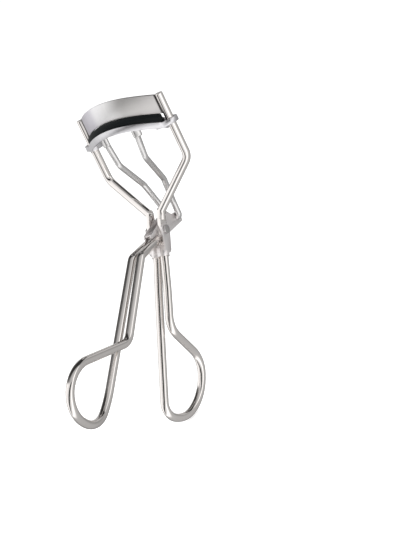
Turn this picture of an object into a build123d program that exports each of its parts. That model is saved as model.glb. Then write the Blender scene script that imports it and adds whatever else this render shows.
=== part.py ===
from build123d import *

import os
from math import acos, cos, radians, sin, sqrt, tan

# Eyelash curler: a bent-wire frame with a curved upper jaw, and a wire lever that lifts a padded lower jaw.
#
# The pieces are built in millimetres with the origin at the centre of the hinge pin, +X along the pin,
# +Z up along the guide rods, and -Y towards the convex side of the jaws and the finger loops.
# Before export every piece is shifted so that the origin lies on the ground, under the middle of the
# curler's bounding box.

# ---- driving dimensions, mm ----
ROD_SPACING = 31.4          # between the two guide rods' centres
FRAME_WIRE_D = 2.6          # frame and lever wire
LINK_WIRE_D = 1.9           # the two wires that push the lower jaw
SHEET = 0.55                # lever bracket and the ferrule's ears
SLEEVE_SHEET = 0.4          # ferrule where it is crimped round the wires
JAW_SHEET = 0.8             # upper jaw plate
CHANNEL_SHEET = 0.7         # lower jaw channel

KINK = (9.9, 17.6)          # y, z where each guide rod bends in towards the hinge
ROD_TOP_Z = 39.3
KINK_BEND_R = 4.0

JAW_ARC_R = 19.9            # jaw line seen from above
JAW_ARCH_R = 28.6           # the same line arches upward at its middle, seen from the front
JAW_TOP_Z = 43.2            # heights at the middle of the jaws
JAW_BOTTOM_Z = 37.1
PAD_TOP_Z = 37.0
LIP_TOP_Z = 35.0
CHANNEL_BOTTOM_Z = 33.0
PAD_WIDTH = 3.0
PAD_END_ANGLE = 42.0        # degrees each side of the middle
EAR_BOTTOM_Z = 29.3
EAR_HEIGHT = 1.6
EAR_SLOT_R = 1.5
EAR_SLOT_HALF_LENGTH = 0.35  # the slot is longer front to back, since the jaw rocks a little as it slides
EAR_WALL = 0.7

BLADE_IN = 1.6              # flattened part of the frame wire beside the hinge: inner and outer face
BLADE_OUT = 2.8
FRAME_LEAN = 32.0           # degrees from -Z towards -Y, hinge part of the frame
HANDLE_LEAN = 37.5          # the same, frame handle below the ferrule
HANDLE_BEND_S = 9.8         # distance from the pin to that bend
FRAME_HANDLE_X = 1.75       # half the spacing of the two frame handle wires
SLEEVE_X = 1.42             # the same inside the ferrule
FERRULE_SPAN = (4.9, 8.3)   # distances from the pin

PIN_R = 1.0
PIN_HEAD_R = 1.45
PIN_HEAD_H = 0.55
RUNNING_GAP = 0.05

LINK_PIVOT = (10.7, -0.4)   # y, z of the link holes in the bracket
LEVER_START = (-13.9, -0.5) # y, z from which the lever handle is measured
LEVER_BEND_S = 1.7          # distance from there to the bend at the top of the handle
LEVER_END_Y = -4.0
LEVER_END_Z = -1.4
LEVER_LEAN = 54.3           # lever handle, degrees from -Z towards -Y
LEVER_HANDLE_X = 1.75
LEVER_TOP_X = 1.32

# ---- values worked out from them ----
ROD_X = ROD_SPACING / 2
WIRE_R = FRAME_WIRE_D / 2
LINK_R = LINK_WIRE_D / 2
ARC_CENTRE_Y = KINK[0] + sqrt((JAW_ARC_R + JAW_SHEET / 2) ** 2 - ROD_X**2)
BRACKET_OUT = BLADE_IN - RUNNING_GAP
BRACKET_IN = BRACKET_OUT - SHEET
EAR_OUT = BLADE_OUT + SHEET
LINK_BOTTOM_X = BRACKET_OUT + RUNNING_GAP + LINK_R


class Run:
    """A straight run in the Y-Z plane: point(x, s, t) is s along it and t to its side."""

    def __init__(self, start, lean, side):
        self.start = start
        self.along = (-sin(radians(lean)), -cos(radians(lean)))
        self.across = (self.along[1] * -side, self.along[0] * side)

    def point(self, x, s, t=0.0):
        y = self.start[0] + s * self.along[0] + t * self.across[0]
        z = self.start[1] + s * self.along[1] + t * self.across[1]
        return Vector(x, y, z)

    def direction(self):
        return Vector(0, *self.along)


FRAME_RUN = Run((0.0, 0.0), FRAME_LEAN, 1)
HANDLE_START = FRAME_RUN.point(0, HANDLE_BEND_S)
HANDLE_RUN = Run((HANDLE_START.Y, HANDLE_START.Z), HANDLE_LEAN, 1)
LEVER_RUN = Run(LEVER_START, LEVER_LEAN, -1)


def rounded_edges(points, *radii):
    """Straight edges through the points, with an arc at every corner: one radius, or one for each corner."""
    points = [Vector(*p) if isinstance(p, tuple) else p for p in points]
    if len(radii) == 1:
        radii = radii * (len(points) - 2)
    edges = []
    start = points[0]
    for before, corner, after, radius in zip(points, points[1:], points[2:], radii):
        back = (before - corner).normalized()
        ahead = (after - corner).normalized()
        half = acos(max(-1.0, min(1.0, back.dot(ahead)))) / 2
        cut = radius / tan(half)
        middle = corner + (back + ahead).normalized() * (radius / sin(half) - radius)
        edges.append(Line(start, corner + back * cut))
        edges.append(ThreePointArc(corner + back * cut, middle, corner + ahead * cut))
        start = corner + ahead * cut
    edges.append(Line(start, points[-1]))
    return edges


def round_wire(edges, radius):
    """A round wire along connected edges."""
    path = Wire(edges)
    return sweep(Plane(origin=path @ 0, z_dir=path % 0) * Circle(radius), path=path)


def mirrored(shape):
    return mirror(shape, about=Plane.YZ)


def yz_plate(sketch, x_from, x_to):
    """A plate whose outline is drawn with (y, z) as the sketch's (x, y), standing between two X values."""
    plane = Plane(origin=(x_from, 0, 0), x_dir=(0, 1, 0), z_dir=(1, 0, 0))
    return extrude(plane * sketch, x_to - x_from)


def below_arch(z_middle):
    """Everything below the jaws' arched line whose middle is at z_middle."""
    drop = JAW_ARCH_R - sqrt(JAW_ARCH_R**2 - 20.0**2)
    low = -10.0
    left = (-20.0, z_middle - drop)
    right = (20.0, z_middle - drop)
    outline = Wire([
        ThreePointArc(left, (0, z_middle), right),
        Line(right, (20.0, low)),
        Line((20.0, low), (-20.0, low)),
        Line((-20.0, low), left),
    ])
    return extrude(Plane.XZ * make_face(outline), 60.0, both=True)


def arched_band(plan, z_bottom, z_top):
    """The upright solid on a plan, kept between two arched lines."""
    block = extrude(plan, 60.0)
    return (block & below_arch(z_top)) - below_arch(z_bottom)


def arc_point(radius, angle):
    return (radius * sin(radians(angle)), ARC_CENTRE_Y - radius * cos(radians(angle)))


def arc_strip(inner_r, outer_r, angle):
    """A strip between two radii of the jaw arc, ending at plus and minus an angle."""
    return make_face(Wire([
        ThreePointArc(arc_point(outer_r, -angle), arc_point(outer_r, 0), arc_point(outer_r, angle)),
        Line(arc_point(outer_r, angle), arc_point(inner_r, angle)),
        ThreePointArc(arc_point(inner_r, angle), arc_point(inner_r, 0), arc_point(inner_r, -angle)),
        Line(arc_point(inner_r, -angle), arc_point(outer_r, -angle)),
    ]))


def pad_plan(half_width):
    """The pad's plan: a strip along the jaw arc with round ends."""
    plan = arc_strip(JAW_ARC_R - half_width, JAW_ARC_R + half_width, PAD_END_ANGLE)
    for angle in (-PAD_END_ANGLE, PAD_END_ANGLE):
        plan = plan + Pos(*arc_point(JAW_ARC_R, angle)) * Circle(half_width)
    return plan


def frame_loop():
    """The frame wire below the hinge: handle wire, finger loop and handle wire, in one run."""
    x = FRAME_HANDLE_X
    turn = HANDLE_RUN.point
    top = FERRULE_SPAN[0] - 1.2
    corners = [
        (FRAME_RUN.point(-SLEEVE_X, 9.5), 30.0),
        (turn(-x, 10.0), 30.0),
        (turn(-x, 48.3, -0.5), 4.3),
        (turn(-0.5, 48.2, 8.3), 10.3),
        (turn(0.4, 40.2, 16.3), 14.8),
        (turn(1.3, 28.7, 15.7), 7.8),
        (turn(x, 21.4), 6.0),
        (turn(x, 10.0), 30.0),
        (FRAME_RUN.point(SLEEVE_X, 9.5), 30.0),
    ]
    ends = [FRAME_RUN.point(side * SLEEVE_X, top) for side in (-1, 1)]
    points = [ends[0]] + [point for point, radius in corners] + [ends[1]]
    return round_wire(rounded_edges(points, *(radius for point, radius in corners)), WIRE_R)


def yz(point):
    return (point.Y, point.Z)


def frame_blade():
    """The flattened, drilled part of the frame wire beside the hinge, +X side."""
    widths = ((-6.0, 0.0, WIRE_R), (-3.1, -0.2, 1.4), (0.0, 0.0, 1.75), (5.0, 0.0, WIRE_R))
    circles = Sketch() + [Pos(*yz(FRAME_RUN.point(0, s, t))) * Circle(r) for s, t, r in widths]
    outline = make_hull(circles.edges())
    return yz_plate(outline - Circle(PIN_R + 0.01), BLADE_IN, BLADE_OUT)


def frame_wire():
    """One wire: guide rod, bend, blade, handle, finger loop, and back up the other side."""
    blade_x = (BLADE_IN + BLADE_OUT) / 2
    blade_top = FRAME_RUN.point(blade_x, -5.8)
    rod = [(ROD_X, KINK[0], ROD_TOP_Z), (ROD_X, *KINK), blade_top, FRAME_RUN.point(blade_x, -3.0)]
    upper = round_top(round_wire(rounded_edges(rod, KINK_BEND_R, 1.8), WIRE_R))
    upper = upper - Rot(0, 90, 0) * Cylinder(5.2, 2 * BLADE_IN)
    side = upper + frame_blade()
    return side + mirrored(side) + frame_loop()


def round_top(rod):
    """The rod's sawn top has its edge rounded."""
    top = rod.faces().sort_by(Axis.Z)[-1]
    return fillet(top.edges(), 0.35)


def upper_jaw():
    """A pressed plate along the jaw arc, its ends fitted against the guide rods."""
    past_rods = 50.0
    plan = arc_strip(JAW_ARC_R - JAW_SHEET / 2, JAW_ARC_R + JAW_SHEET / 2, past_rods)
    plate = arched_band(plan, JAW_BOTTOM_Z, JAW_TOP_Z)
    for x in (-ROD_X, ROD_X):
        plate -= Pos(x, KINK[0], 30) * Cylinder(WIRE_R, 60)
    return plate.solids().sort_by(SortBy.VOLUME)[-1]


def rod_slot(radius):
    """Plan of the slot in an ear, grown to a radius."""
    ends = [Pos(ROD_X, KINK[0] + y) * Circle(radius) for y in (-EAR_SLOT_HALF_LENGTH, EAR_SLOT_HALF_LENGTH)]
    return make_hull((Sketch() + ends).edges())


def lower_jaw():
    """A channel that holds the pad, with a slotted ear round each guide rod."""
    half = PAD_WIDTH / 2
    floor_top = CHANNEL_BOTTOM_Z + CHANNEL_SHEET
    body = arched_band(pad_plan(half + CHANNEL_SHEET), CHANNEL_BOTTOM_Z, LIP_TOP_Z)
    ear_circles = Sketch() + [
        Pos(*arc_point(JAW_ARC_R, PAD_END_ANGLE)) * Circle(half + CHANNEL_SHEET),
        rod_slot(EAR_SLOT_R + EAR_WALL),
    ]
    ear = Pos(0, 0, EAR_BOTTOM_Z) * extrude(make_hull(ear_circles.edges()), EAR_HEIGHT)
    body += ear + mirrored(ear)
    body -= arched_band(pad_plan(half), floor_top, JAW_TOP_Z)
    slot = extrude(rod_slot(EAR_SLOT_R), 60)
    return body - slot - mirrored(slot)


def lash_pad():
    """The silicone strip in the channel, crowned along its top."""
    pad = arched_band(pad_plan(PAD_WIDTH / 2 - 0.01), CHANNEL_BOTTOM_Z + CHANNEL_SHEET + 0.01, PAD_TOP_Z)
    slot = extrude(rod_slot(EAR_SLOT_R + 0.2), 60)
    return pad - slot - mirrored(slot)


def link_wire():
    """The +X link: a flattened foot under the channel, three bends, and an end turned into the bracket."""
    foot = (6.3, 4.05, 33.0)
    points = [
        foot, (5.2, 4.05, 22.8), (4.0, 9.6, 13.2), (LINK_BOTTOM_X, LINK_PIVOT[0] + 0.2, LINK_PIVOT[1] + 5),
        (LINK_BOTTOM_X, *LINK_PIVOT), (0.15, *LINK_PIVOT),
    ]
    wire = round_wire(rounded_edges(points, 3.5, 3.5, 3.5, LINK_R + 0.15), LINK_R)
    paddle = Pos(6.2, 4.05, 29.6) * Rot(0, 0, 18) * extrude(Ellipse(1.5, 0.97), 4.0)
    paddle = fillet(paddle.edges().sort_by(Axis.Z)[0], 0.35)
    return (wire + paddle) & below_arch(CHANNEL_BOTTOM_Z)


def lever_bracket():
    """A sheet channel that turns on the hinge pin, with the link holes at its far end."""
    wire_top = LEVER_END_Z + WIRE_R + 0.01
    outline = [
        (-6.0, wire_top), (-6.0, 1.2), (-3.0, 1.8), (0.0, 2.3), (7.2, 3.3), (8.2, 1.8), (11.6, 1.2),
        (12.8, -0.9), (12.3, -2.4), (-2.4, -2.4), (-2.9, wire_top),
    ]
    plate = make_face(Polyline(*outline, close=True))
    plate = fillet(plate.vertices(), 0.4)
    web = Pos(4.8, -2.4 + SHEET / 2) * Rectangle(14.2, SHEET)
    front_web = Pos(-4.6, 1.0) * Rectangle(2.4, SHEET)
    holes = Circle(PIN_R + RUNNING_GAP) + Pos(*LINK_PIVOT) * Circle(LINK_R + RUNNING_GAP)
    sides = yz_plate(plate - holes, BRACKET_IN, BRACKET_OUT)
    webs = yz_plate(web, -BRACKET_OUT, BRACKET_OUT) + yz_plate(front_web, -BRACKET_IN, BRACKET_IN)
    return sides + mirrored(sides) + webs


def lever_wire():
    """One wire: bracket end, handle, finger loop, and back, crossing itself at the top of the loop."""
    x = LEVER_HANDLE_X
    turn = LEVER_RUN.point
    corners = [
        (turn(x, LEVER_BEND_S), 3.2),
        (turn(x, 31.0), 5.5),
        (turn(1.5, 47.4, 20.2), 12.0),
        (turn(0.8, 61.1, 20.2), 7.8),
        (turn(-0.6, 60.9, 4.6), 9.4),
        (turn(-1.4, 50.0, 1.6), 30.0),
        (turn(-x, LEVER_BEND_S), 3.2),
    ]
    ends = [(side * LEVER_TOP_X, LEVER_END_Y, LEVER_END_Z) for side in (1, -1)]
    points = [ends[0]] + [point for point, radius in corners] + [ends[1]]
    return round_wire(rounded_edges(points, *(radius for point, radius in corners)), WIRE_R)


def hinge_pin():
    """A rivet with a domed head at each end."""
    pin = Rot(0, 90, 0) * Cylinder(PIN_R, 2 * EAR_OUT)
    head = Cylinder(PIN_HEAD_R, PIN_HEAD_H)
    head = fillet(head.edges().sort_by(Axis.Z)[-1], 0.35)
    head = Pos(EAR_OUT + PIN_HEAD_H / 2, 0, 0) * Rot(0, 90, 0) * head
    return pin + head + mirrored(head)


def frame_ferrule(wire):
    """Sheet crimped round both handle wires, with two ears that reach up to the hinge pin."""
    start, end = FERRULE_SPAN
    outer = WIRE_R + SLEEVE_SHEET
    base = Plane(origin=FRAME_RUN.point(0, start), x_dir=(1, 0, 0), z_dir=FRAME_RUN.direction())
    section = Pos(-SLEEVE_X, 0) * Circle(outer) + Pos(SLEEVE_X, 0) * Circle(outer)
    section += Rectangle(2 * SLEEVE_X, 2 * outer - 0.7)
    sleeve = extrude(base * section, end - start)
    for side in (-1, 1):
        notch = Polyline((-1.5, 0), (1.5, 0), (0, 2.2), close=True)
        plane = Plane(
            origin=FRAME_RUN.point(0, start, side * outer), x_dir=(1, 0, 0),
            z_dir=Vector(0, *FRAME_RUN.across) * -1,
        )
        sleeve -= extrude(plane * make_face(notch), 1.6, both=True)
    ear_circles = Sketch() + [
        Circle(2.0),
        Pos(*yz(FRAME_RUN.point(0, start + 1.0))) * Circle(1.6),
    ]
    ear = yz_plate(make_hull(ear_circles.edges()) - Circle(PIN_R + 0.01), BLADE_OUT, EAR_OUT)
    joggle = yz_plate(Pos(*yz(FRAME_RUN.point(0, start + 1.0))) * Circle(1.6), SLEEVE_X, BLADE_OUT)
    ear += joggle & extrude(base * Rectangle(20, 20), end - start)
    return sleeve + ear + mirrored(ear) - wire


def build():
    wire = frame_wire()
    link = link_wire()
    return {
        "frame_wire": wire,
        "upper_jaw": upper_jaw(),
        "lower_jaw": lower_jaw(),
        "lash_pad": lash_pad(),
        "link_wire_right": link,
        "link_wire_left": mirrored(link),
        "lever_bracket": lever_bracket(),
        "lever_wire": lever_wire(),
        "hinge_pin": hinge_pin(),
        "frame_ferrule": frame_ferrule(wire),
    }


def main():
    pieces = build()
    box = Compound(children=[Compound(p.solids()) for p in pieces.values()]).bounding_box()
    shift = Pos(-(box.min.X + box.max.X) / 2, -(box.min.Y + box.max.Y) / 2, -box.min.Z)
    os.makedirs("parts", exist_ok=True)
    for name, piece in pieces.items():
        solids = (shift * piece).solids()
        export_step(solids[0] if len(solids) == 1 else Compound(solids), f"parts/{name}.step")
        print(name, len(solids), round(sum(s.volume for s in solids), 2))
    print("hinge pin centre", [round(value, 4) for value in shift.position])


main()
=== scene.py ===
"""Studio scene of the eyelash curler: finishes for the metal, a moulded silicone pad, and studio light."""

from math import cos, pi, radians, sin, sqrt

import bpy
from mathutils import Matrix, Vector

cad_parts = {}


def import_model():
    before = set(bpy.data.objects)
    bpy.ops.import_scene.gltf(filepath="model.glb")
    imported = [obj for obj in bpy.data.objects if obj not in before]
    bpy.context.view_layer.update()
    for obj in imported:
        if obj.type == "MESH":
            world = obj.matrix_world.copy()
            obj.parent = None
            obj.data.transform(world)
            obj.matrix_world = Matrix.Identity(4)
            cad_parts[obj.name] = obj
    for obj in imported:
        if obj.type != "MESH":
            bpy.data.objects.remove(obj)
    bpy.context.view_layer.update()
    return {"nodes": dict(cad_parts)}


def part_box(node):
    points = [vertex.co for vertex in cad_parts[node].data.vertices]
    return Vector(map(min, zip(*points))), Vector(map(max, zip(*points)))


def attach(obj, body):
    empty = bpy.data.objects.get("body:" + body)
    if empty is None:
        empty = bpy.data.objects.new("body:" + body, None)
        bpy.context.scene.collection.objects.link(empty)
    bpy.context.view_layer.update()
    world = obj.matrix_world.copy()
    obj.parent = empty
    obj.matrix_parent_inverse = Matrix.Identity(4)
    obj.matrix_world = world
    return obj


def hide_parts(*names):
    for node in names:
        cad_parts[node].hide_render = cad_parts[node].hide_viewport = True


MM = 0.001

# Jaw line, as in the CAD: an arc seen from above, which also arches upward at its middle.
JAW_ARC_R = 19.9 * MM
JAW_ARCH_R = 28.6 * MM
PAD_HALF_WIDTH = 1.49 * MM
PAD_END_ANGLE = radians(45.2)
PAD_HEIGHT = 3.28 * MM          # from the channel floor to the crest
JAW_HALF_WIDTH = 15 * MM

# Edge radii that catch the light.
WIRE_EDGE = 0.12 * MM
JAW_EDGE = 0.1 * MM
SHEET_EDGE = 0.06 * MM
RIVET_EDGE = 0.05 * MM

# Camera, from the viewing angle of the picture.
CAMERA_AZIMUTH = radians(36.0)
CAMERA_ELEVATION = radians(11.2)
CAMERA_ROLL = radians(25.6)
CAMERA_DISTANCE = 480 * MM
CAMERA_LENS = 101.95
TARGET_FROM_PIN = Vector((0, 10.56 * MM, 17.57 * MM))
AIM_RIGHT = 0.03485             # the optical axis passes this far right of and below the target,
AIM_DOWN = 0.06656              # as a share of the distance
RING_TILT = radians(35)         # the ring of panels leans, so that level and upright wires both cross it
ROOM_LIGHT = 0.75
BACKDROP = 1.05
FLOOR_SEEN = 0.42               # light the floor gives off to the camera, on top of what falls on it
FLOOR_HALF = 3.0
FLOOR_GAP = 0.3 * MM            # the floor lies this far below the curler

# The ring of panels that the metal mirrors: degrees round the ring from the camera, and brightness.
RING = (
    (-180, 0.62), (-135, 0.72), (-112, 1.15), (-80, 1.15), (-50, 0.90), (-36, 0.75), (-33, 0.01),
    (-12, 0.01), (-7, 0.70), (12, 0.80), (24, 1.50), (42, 1.20), (58, 0.54), (80, 0.50),
    (115, 0.46), (150, 0.22), (180, 0.55),
)
# The same high up behind the curler, where its left side is darker.
RING_BEHIND = (
    (-180, 0.60), (-150, 0.45), (-125, 0.04), (-104, 0.05), (-90, 0.34), (-50, 0.52), (-20, 0.66),
    (10, 1.00), (24, 1.50), (40, 1.20), (56, 0.54), (90, 0.50), (150, 0.30), (180, 0.60),
)
OVERHEAD_FLAG = 0.03            # brightness of the dark flag overhead, to the left


# ---------------------------------------------------------------- node materials

class Nodes:
    """Short calls for building a node tree."""

    def __init__(self, tree):
        self.tree = tree
        tree.nodes.clear()

    def add(self, kind, inputs=None, **settings):
        node = self.tree.nodes.new(kind)
        for name, value in settings.items():
            setattr(node, name, value)
        for name, value in (inputs or {}).items():
            self.feed(node.inputs[name], value)
        return node

    def feed(self, socket, value):
        if isinstance(value, bpy.types.NodeSocket):
            self.tree.links.new(value, socket)
        else:
            socket.default_value = value

    def math(self, operation, a, b=0.0):
        node = self.add("ShaderNodeMath", operation=operation)
        self.feed(node.inputs[0], a)
        self.feed(node.inputs[1], b)
        return node.outputs[0]

    def ramp(self, factor, stops, interpolation="EASE"):
        node = self.add("ShaderNodeValToRGB", {"Fac": factor})
        ramp = node.color_ramp
        ramp.interpolation = interpolation
        while len(ramp.elements) < len(stops):
            ramp.elements.new(1.0)
        for element, (position, value) in zip(ramp.elements, stops):
            element.position = position
            element.color = value if len(value) == 4 else (*value, 1.0)
        return node.outputs["Color"]

    def mix(self, factor, a, b, blend="MIX"):
        node = self.add("ShaderNodeMix", data_type="RGBA", blend_type=blend)
        self.feed(node.inputs["Factor"], factor)
        self.feed(node.inputs[6], a)
        self.feed(node.inputs[7], b)
        return node.outputs[2]

    def noise(self, vector, scale, detail=3.0, roughness=0.5):
        node = self.add(
            "ShaderNodeTexNoise",
            {"Vector": vector, "Scale": scale, "Detail": detail, "Roughness": roughness},
        )
        return node.outputs["Fac"]

    def stretched(self, vector, scale):
        node = self.add("ShaderNodeMapping", {"Vector": vector, "Scale": scale})
        return node.outputs["Vector"]

    def along(self, direction, axis):
        """How far a direction points along an axis."""
        node = self.add("ShaderNodeVectorMath", {0: direction, 1: axis}, operation="DOT_PRODUCT")
        return node.outputs["Value"]

    def between(self, value, low, high):
        """Where a value lies between two others, from 0 to 1."""
        node = self.add("ShaderNodeMapRange", {"Value": value, "From Min": low, "From Max": high})
        return node.outputs["Result"]

    def span(self, value, low, high):
        node = self.add("ShaderNodeMapRange", {"Value": value, "To Min": low, "To Max": high})
        return node.outputs["Result"]


def grey(value):
    return (value, value, value)


def new_material(name):
    material = bpy.data.materials.new(name)
    material.use_nodes = True
    return material, Nodes(material.node_tree)


def finish_material(nodes, color, metallic, roughness, bump, bump_distance, specular=0.5):
    """Joins the worked-out colour, roughness and relief to the surface."""
    normal = nodes.add("ShaderNodeBump", {"Height": bump, "Distance": bump_distance, "Strength": 1.0})
    shader = nodes.add(
        "ShaderNodeBsdfPrincipled",
        {"Base Color": color, "Metallic": metallic, "Roughness": roughness, "Normal": normal.outputs[0]},
    )
    shader.inputs["Specular IOR Level"].default_value = specular
    output = nodes.add("ShaderNodeOutputMaterial")
    nodes.tree.links.new(shader.outputs[0], output.inputs["Surface"])


def polished_wire():
    """Nickel-plated wire: near mirror, faint drawing lines, handling haze and a few fine pits."""
    material, nodes = new_material("polished wire")
    place = nodes.add("ShaderNodeTexCoord").outputs["Object"]
    haze = nodes.noise(place, 160.0, 4.0)
    lines = nodes.noise(nodes.stretched(place, (9000.0, 900.0, 700.0)), 1.0, 2.0)
    pits = nodes.noise(place, 3200.0, 1.0)
    color = nodes.mix(haze, (0.91, 0.875, 0.85, 1.0), (0.83, 0.79, 0.765, 1.0))
    roughness = nodes.span(haze, 0.04, 0.12)
    relief = nodes.math("ADD", nodes.math("MULTIPLY", lines, 0.3), nodes.math("MULTIPLY", pits, 0.2))
    finish_material(nodes, color, 1.0, roughness, relief, 0.0015 * MM)
    return material


def brushed_jaw(pivot):
    """Satin plate brushed along the jaw. Its colour across it is the metal's own tint under a painted
    reflection (lavender grey, then white, then warm grey), and its ends at the rods carry painted shade.
    """
    material, nodes = new_material("brushed jaw")
    place = nodes.add("ShaderNodeTexCoord").outputs["Object"]
    centred = nodes.add("ShaderNodeVectorMath", {0: place, 1: pivot}, operation="SUBTRACT").outputs[0]
    parts = nodes.add("ShaderNodeSeparateXYZ", {0: centred})
    around = nodes.math("ARCTAN2", parts.outputs["X"], nodes.math("MULTIPLY", parts.outputs["Y"], -1.0))
    height = parts.outputs["Z"]
    unrolled = nodes.add("ShaderNodeCombineXYZ", {"X": around, "Y": 0.0, "Z": height}).outputs[0]
    brushing = nodes.noise(nodes.stretched(unrolled, (22.0, 1.0, 9000.0)), 1.0, 4.0, 0.65)
    haze = nodes.noise(nodes.stretched(unrolled, (3.0, 1.0, 160.0)), 1.0, 3.0)
    # painted shade: near-black bands at both ends of the jaw, standing for the shadow where the plate meets
    # the rods
    corner = grey(0.03)
    lavender, pale_lavender = (0.64, 0.62, 0.665), (0.76, 0.74, 0.79)
    near_white, white = (0.97, 0.96, 0.97), (1.0, 0.99, 0.985)
    warm_grey, far_grey = (0.68, 0.665, 0.65), (0.68, 0.66, 0.65)
    # painted reflection: the run from lavender grey through white to warm grey across the jaw stands for
    # light on the metal, over its own tint
    painted_reflection_tint = nodes.ramp(nodes.between(parts.outputs["X"], -JAW_HALF_WIDTH, JAW_HALF_WIDTH), [
        (0.0, corner), (0.045, corner), (0.075, lavender), (0.25, pale_lavender), (0.38, near_white),
        (0.53, white), (0.72, warm_grey), (0.98, far_grey), (0.99, corner),
    ])
    color = nodes.mix(nodes.span(brushing, 0.0, 0.22), painted_reflection_tint, (0.6, 0.58, 0.58, 1.0))
    roughness = nodes.math("ADD", nodes.span(brushing, 0.42, 0.56), nodes.span(haze, -0.05, 0.06))
    finish_material(nodes, color, 1.0, roughness, brushing, 0.006 * MM)
    return material


def satin_sheet(name, light, dark, rough_low, rough_high, scale):
    """Rolled and tumbled sheet: a soft cloud of tone, fine grain and scattered scuffs."""
    material, nodes = new_material(name)
    place = nodes.add("ShaderNodeTexCoord").outputs["Object"]
    cloud = nodes.noise(place, 220.0, 4.0)
    grain = nodes.noise(nodes.stretched(place, scale), 1.0, 3.0, 0.6)
    scuffs = nodes.ramp(nodes.noise(place, 900.0, 2.0), [(0.62, grey(0.0)), (0.72, grey(1.0))])
    color = nodes.mix(cloud, (*light, 1.0), (*dark, 1.0))
    color = nodes.mix(nodes.math("MULTIPLY", scuffs, 0.12), color, (*grey(0.35), 1.0))
    rougher = nodes.math("MULTIPLY", scuffs, 0.08)
    roughness = nodes.math("ADD", nodes.span(grain, rough_low, rough_high), rougher)
    finish_material(nodes, color, 1.0, roughness, grain, 0.006 * MM)
    return material


def pad_silicone():
    """Black moulded silicone with a soft sheen, a fine grain and a little dust."""
    material, nodes = new_material("pad silicone")
    place = nodes.add("ShaderNodeTexCoord").outputs["Object"]
    cloud = nodes.noise(place, 300.0, 3.0)
    grain = nodes.noise(place, 5200.0, 2.0)
    dust = nodes.ramp(nodes.noise(place, 2600.0, 1.0), [(0.70, grey(0.0)), (0.78, grey(1.0))])
    color = nodes.mix(cloud, (0.003, 0.0045, 0.005, 1.0), (0.006, 0.008, 0.009, 1.0))
    color = nodes.mix(nodes.math("MULTIPLY", dust, 0.06), color, (0.2, 0.2, 0.2, 1.0))
    roughness = nodes.span(cloud, 0.40, 0.52)
    finish_material(nodes, color, 0.0, roughness, grain, 0.012 * MM, specular=0.12)
    return material


# ---------------------------------------------------------------- pieces

def dress(node, material, bevel):
    """Gives a CAD piece its finish, and the small edge radius that catches the light."""
    node.data.materials.clear()
    node.data.materials.append(material)
    for face in node.data.polygons:
        face.use_smooth = True
    weld = node.modifiers.new("weld", "WELD")
    weld.merge_threshold = 0.002 * MM
    edge = node.modifiers.new("edge", "BEVEL")
    edge.width = bevel
    edge.segments = 2
    edge.limit_method = "ANGLE"
    edge.angle_limit = radians(38)
    edge.harden_normals = True


def pad_section(width_share):
    """Outline of the pad across the jaw, as (sideways, up) from the channel floor to the crest at 1."""
    points = []
    count = 40
    for i in range(count):
        angle = 2 * pi * i / count
        side, up = cos(angle), sin(angle)
        power = 0.42 if up > 0 else 0.2
        across = abs(side) ** power * (1 if side > 0 else -1)
        height = abs(up) ** power * (1 if up > 0 else -1)
        points.append((across * width_share, 0.5 + 0.5 * height))
    return points


def lash_pad(box):
    """A moulded strip that follows the jaw: crowned along its top, pinched at the lips, with round ends."""
    low, high = Vector(box[0]), Vector(box[1])
    centre_y = low.y + JAW_ARC_R + PAD_HALF_WIDTH
    crest = high.z
    sections = 121
    vertices, faces = [], []
    for i in range(sections):
        angle = PAD_END_ANGLE * (2 * i / (sections - 1) - 1)
        from_end = (PAD_END_ANGLE - abs(angle)) * JAW_ARC_R
        rounding = min(1.0, from_end / (PAD_HALF_WIDTH * 0.8))
        share = max(0.12, sqrt(1 - (1 - rounding) ** 2))
        for across, up in pad_section(share):
            bulge = 1.0 + 0.03 * sin(pi * max(0.0, (up - 0.45) / 0.55))
            pinch = 1.0 - 0.02 * cos(2 * pi * (up - 0.4)) ** 8
            radius = JAW_ARC_R + across * PAD_HALF_WIDTH * bulge * pinch
            x = radius * sin(angle)
            y = centre_y - radius * cos(angle)
            drop = JAW_ARCH_R - sqrt(JAW_ARCH_R**2 - x**2)
            end_drop = 0.25 * MM * (1 - rounding) ** 2 * (up > 0.6)
            vertices.append((x, y, crest - drop - PAD_HEIGHT * (1 - up) - end_drop))
    count = len(vertices) // sections
    for i in range(sections - 1):
        for j in range(count):
            k = (j + 1) % count
            faces.append((i * count + j, i * count + k, (i + 1) * count + k, (i + 1) * count + j))
    faces.append(tuple(range(count))[::-1])
    faces.append(tuple(range((sections - 1) * count, sections * count)))
    mesh = bpy.data.meshes.new("pad")
    mesh.from_pydata(vertices, [], faces)
    mesh.update()
    for face in mesh.polygons:
        face.use_smooth = len(face.vertices) == 4
    pad = bpy.data.objects.new("silicone_pad", mesh)
    bpy.context.scene.collection.objects.link(pad)
    return pad


# ---------------------------------------------------------------- studio

def view_axes():
    """Right, up and back of the camera before it is aimed, leaning included."""
    a, e, roll = CAMERA_AZIMUTH, CAMERA_ELEVATION, CAMERA_ROLL
    right = Vector((cos(a), sin(a), 0))
    up = Vector((-sin(e) * sin(a), sin(e) * cos(a), cos(e)))
    back = Vector((sin(a) * cos(e), -cos(a) * cos(e), sin(e)))
    return right * cos(roll) - up * sin(roll), right * sin(roll) + up * cos(roll), back


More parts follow.
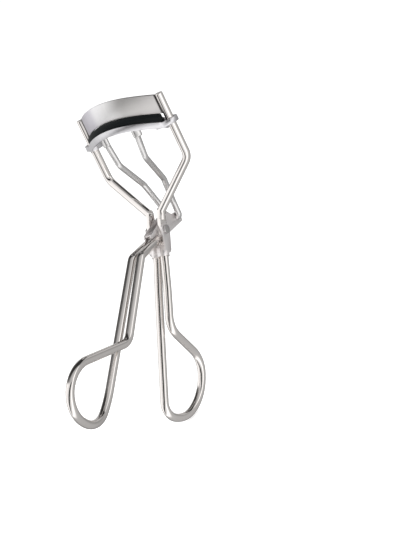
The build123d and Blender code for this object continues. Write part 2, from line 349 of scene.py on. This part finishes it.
def studio_world():
    """White to the camera; to the metal, a leaning ring of panels that draws streaks along the wires."""
    world = bpy.data.worlds.new("studio")
    bpy.context.scene.world = world
    world.use_nodes = True
    nodes = Nodes(world.node_tree)
    direction = nodes.add("ShaderNodeTexCoord").outputs["Generated"]
    right, up, back = view_axes()
    across = right * cos(RING_TILT) - up * sin(RING_TILT)
    around = nodes.math("ARCTAN2", nodes.along(direction, across), nodes.along(direction, back))
    place = nodes.between(around, -pi, pi)
    panels, panels_behind = (
        nodes.ramp(place, [((angle + 180) / 360, grey(light)) for angle, light in ring], "LINEAR")
        for ring in (RING, RING_BEHIND)
    )
    high_behind = nodes.ramp(
        nodes.along(direction, Vector((0, 0.7, 0.7))), [(0.38, grey(0.0)), (0.52, grey(1.0))]
    )
    panels = nodes.mix(high_behind, panels, panels_behind)
    left = nodes.ramp(place, [(0.03, grey(0.0)), (0.08, grey(1.0)), (0.25, grey(1.0)), (0.31, grey(0.0))])
    overhead = nodes.ramp(nodes.along(direction, up), [(0.66, grey(0.0)), (0.76, grey(1.0))])
    flag = nodes.math("MULTIPLY", left, overhead)
    panels = nodes.mix(flag, panels, (*grey(OVERHEAD_FLAG), 1.0))
    rays = nodes.add("ShaderNodeLightPath")
    seen = nodes.mix(rays.outputs["Is Glossy Ray"], (*grey(ROOM_LIGHT), 1.0), panels)
    color = nodes.mix(rays.outputs["Is Camera Ray"], seen, (*grey(BACKDROP), 1.0))
    background = nodes.add("ShaderNodeBackground", {"Color": color, "Strength": 1.0})
    output = nodes.add("ShaderNodeOutputWorld")
    nodes.tree.links.new(background.outputs[0], output.inputs["Surface"])


def area_light(name, place, target, size, power):
    """A soft square lamp that the metal doesn't mirror."""
    data = bpy.data.lights.new(name, "AREA")
    data.size = size
    data.energy = power
    light = bpy.data.objects.new(name, data)
    light.location = place
    light.rotation_euler = (target - place).to_track_quat("-Z", "Y").to_euler()
    light.visible_glossy = False
    bpy.context.scene.collection.objects.link(light)


def floor():
    """A white table top; the metal mirrors the panels through it."""
    mesh = bpy.data.meshes.new("floor")
    signs = ((-1, -1), (1, -1), (1, 1), (-1, 1))
    corners = [(x * FLOOR_HALF, y * FLOOR_HALF, -FLOOR_GAP) for x, y in signs]
    mesh.from_pydata(corners, [], [(0, 1, 2, 3)])
    plane = bpy.data.objects.new("floor", mesh)
    bpy.context.scene.collection.objects.link(plane)
    material, nodes = new_material("floor")
    rays = nodes.add("ShaderNodeLightPath")
    table = nodes.add("ShaderNodeBsdfPrincipled", {"Base Color": (*grey(0.95), 1.0), "Roughness": 0.30})
    to_camera = nodes.math("MULTIPLY", rays.outputs["Is Camera Ray"], FLOOR_SEEN)
    glow = nodes.add("ShaderNodeEmission", {"Strength": to_camera})
    lit = nodes.add("ShaderNodeAddShader", {0: table.outputs[0], 1: glow.outputs[0]})
    open_to_metal = nodes.add("ShaderNodeBsdfTransparent")
    both = nodes.add(
        "ShaderNodeMixShader",
        {0: rays.outputs["Is Glossy Ray"], 1: lit.outputs[0], 2: open_to_metal.outputs[0]},
    )
    output = nodes.add("ShaderNodeOutputMaterial")
    nodes.tree.links.new(both.outputs[0], output.inputs["Surface"])
    mesh.materials.append(material)


def camera(pin):
    """A long lens from the front right, leaning, so that the curler stands as in the picture."""
    target = pin + TARGET_FROM_PIN
    right, up, back = view_axes()
    forward = (-back + right * AIM_RIGHT - up * AIM_DOWN).normalized()
    side = forward.cross(up).normalized()
    top = side.cross(forward)
    data = bpy.data.cameras.new("camera")
    data.lens = CAMERA_LENS
    data.clip_start = 0.01
    eye = bpy.data.objects.new("camera", data)
    eye.matrix_world = Matrix.Translation(target + back * CAMERA_DISTANCE) @ Matrix(
        [(side[i], top[i], -forward[i]) for i in range(3)]
    ).to_4x4()
    bpy.context.scene.collection.objects.link(eye)
    bpy.context.scene.camera = eye


def dress_metal(nodes, jaw_centre):
    """Every CAD piece but the pad gets its finish."""
    wire = polished_wire()
    sheet = satin_sheet(
        "bracket sheet", (0.97, 0.935, 0.93), (0.89, 0.855, 0.85), 0.34, 0.50, (900.0, 700.0, 5200.0)
    )
    rivet = satin_sheet(
        "rivet steel", (0.66, 0.64, 0.63), (0.45, 0.43, 0.43), 0.16, 0.26, (3000.0, 3000.0, 3000.0)
    )
    channel = satin_sheet(
        "lower jaw steel", (0.80, 0.79, 0.81), (0.71, 0.70, 0.72), 0.26, 0.40, (700.0, 700.0, 6500.0)
    )
    link = satin_sheet(
        "link steel", (0.78, 0.765, 0.76), (0.68, 0.67, 0.665), 0.20, 0.32, (5200.0, 900.0, 500.0)
    )
    dress(nodes["upper_jaw"], brushed_jaw(jaw_centre), JAW_EDGE)
    dress(nodes["hinge_pin"], rivet, RIVET_EDGE)
    dress(nodes["lower_jaw"], channel, SHEET_EDGE)
    for name in ("frame_wire", "lever_wire"):
        dress(nodes[name], wire, WIRE_EDGE)
    for name in ("lever_bracket", "frame_ferrule"):
        dress(nodes[name], sheet, SHEET_EDGE)
    for name in ("link_wire_left", "link_wire_right"):
        dress(nodes[name], link, SHEET_EDGE)


def main():
    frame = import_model()
    nodes = frame["nodes"]
    pad_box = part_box("lash_pad")
    jaw_centre = Vector((0, pad_box[0][1] + JAW_ARC_R + PAD_HALF_WIDTH, pad_box[1][2]))

    dress_metal(nodes, jaw_centre)
    pad = lash_pad(pad_box)
    pad.data.materials.append(pad_silicone())
    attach(pad, "lower_jaw_set")
    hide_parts("lash_pad")

    low, high = (Vector(corner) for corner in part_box("hinge_pin"))
    pin = (low + high) / 2
    bpy.context.scene.view_settings.view_transform = "Standard"
    studio_world()
    floor()
    area_light("key", pin + Vector((-0.35, -0.55, 0.55)), pin, 0.5, 3.0)
    area_light("fill", pin + Vector((0.6, -0.35, 0.25)), pin, 0.6, 1.2)
    area_light("back", pin + Vector((0.1, 0.6, 0.5)), pin, 0.6, 1.5)
    camera(pin)


main()
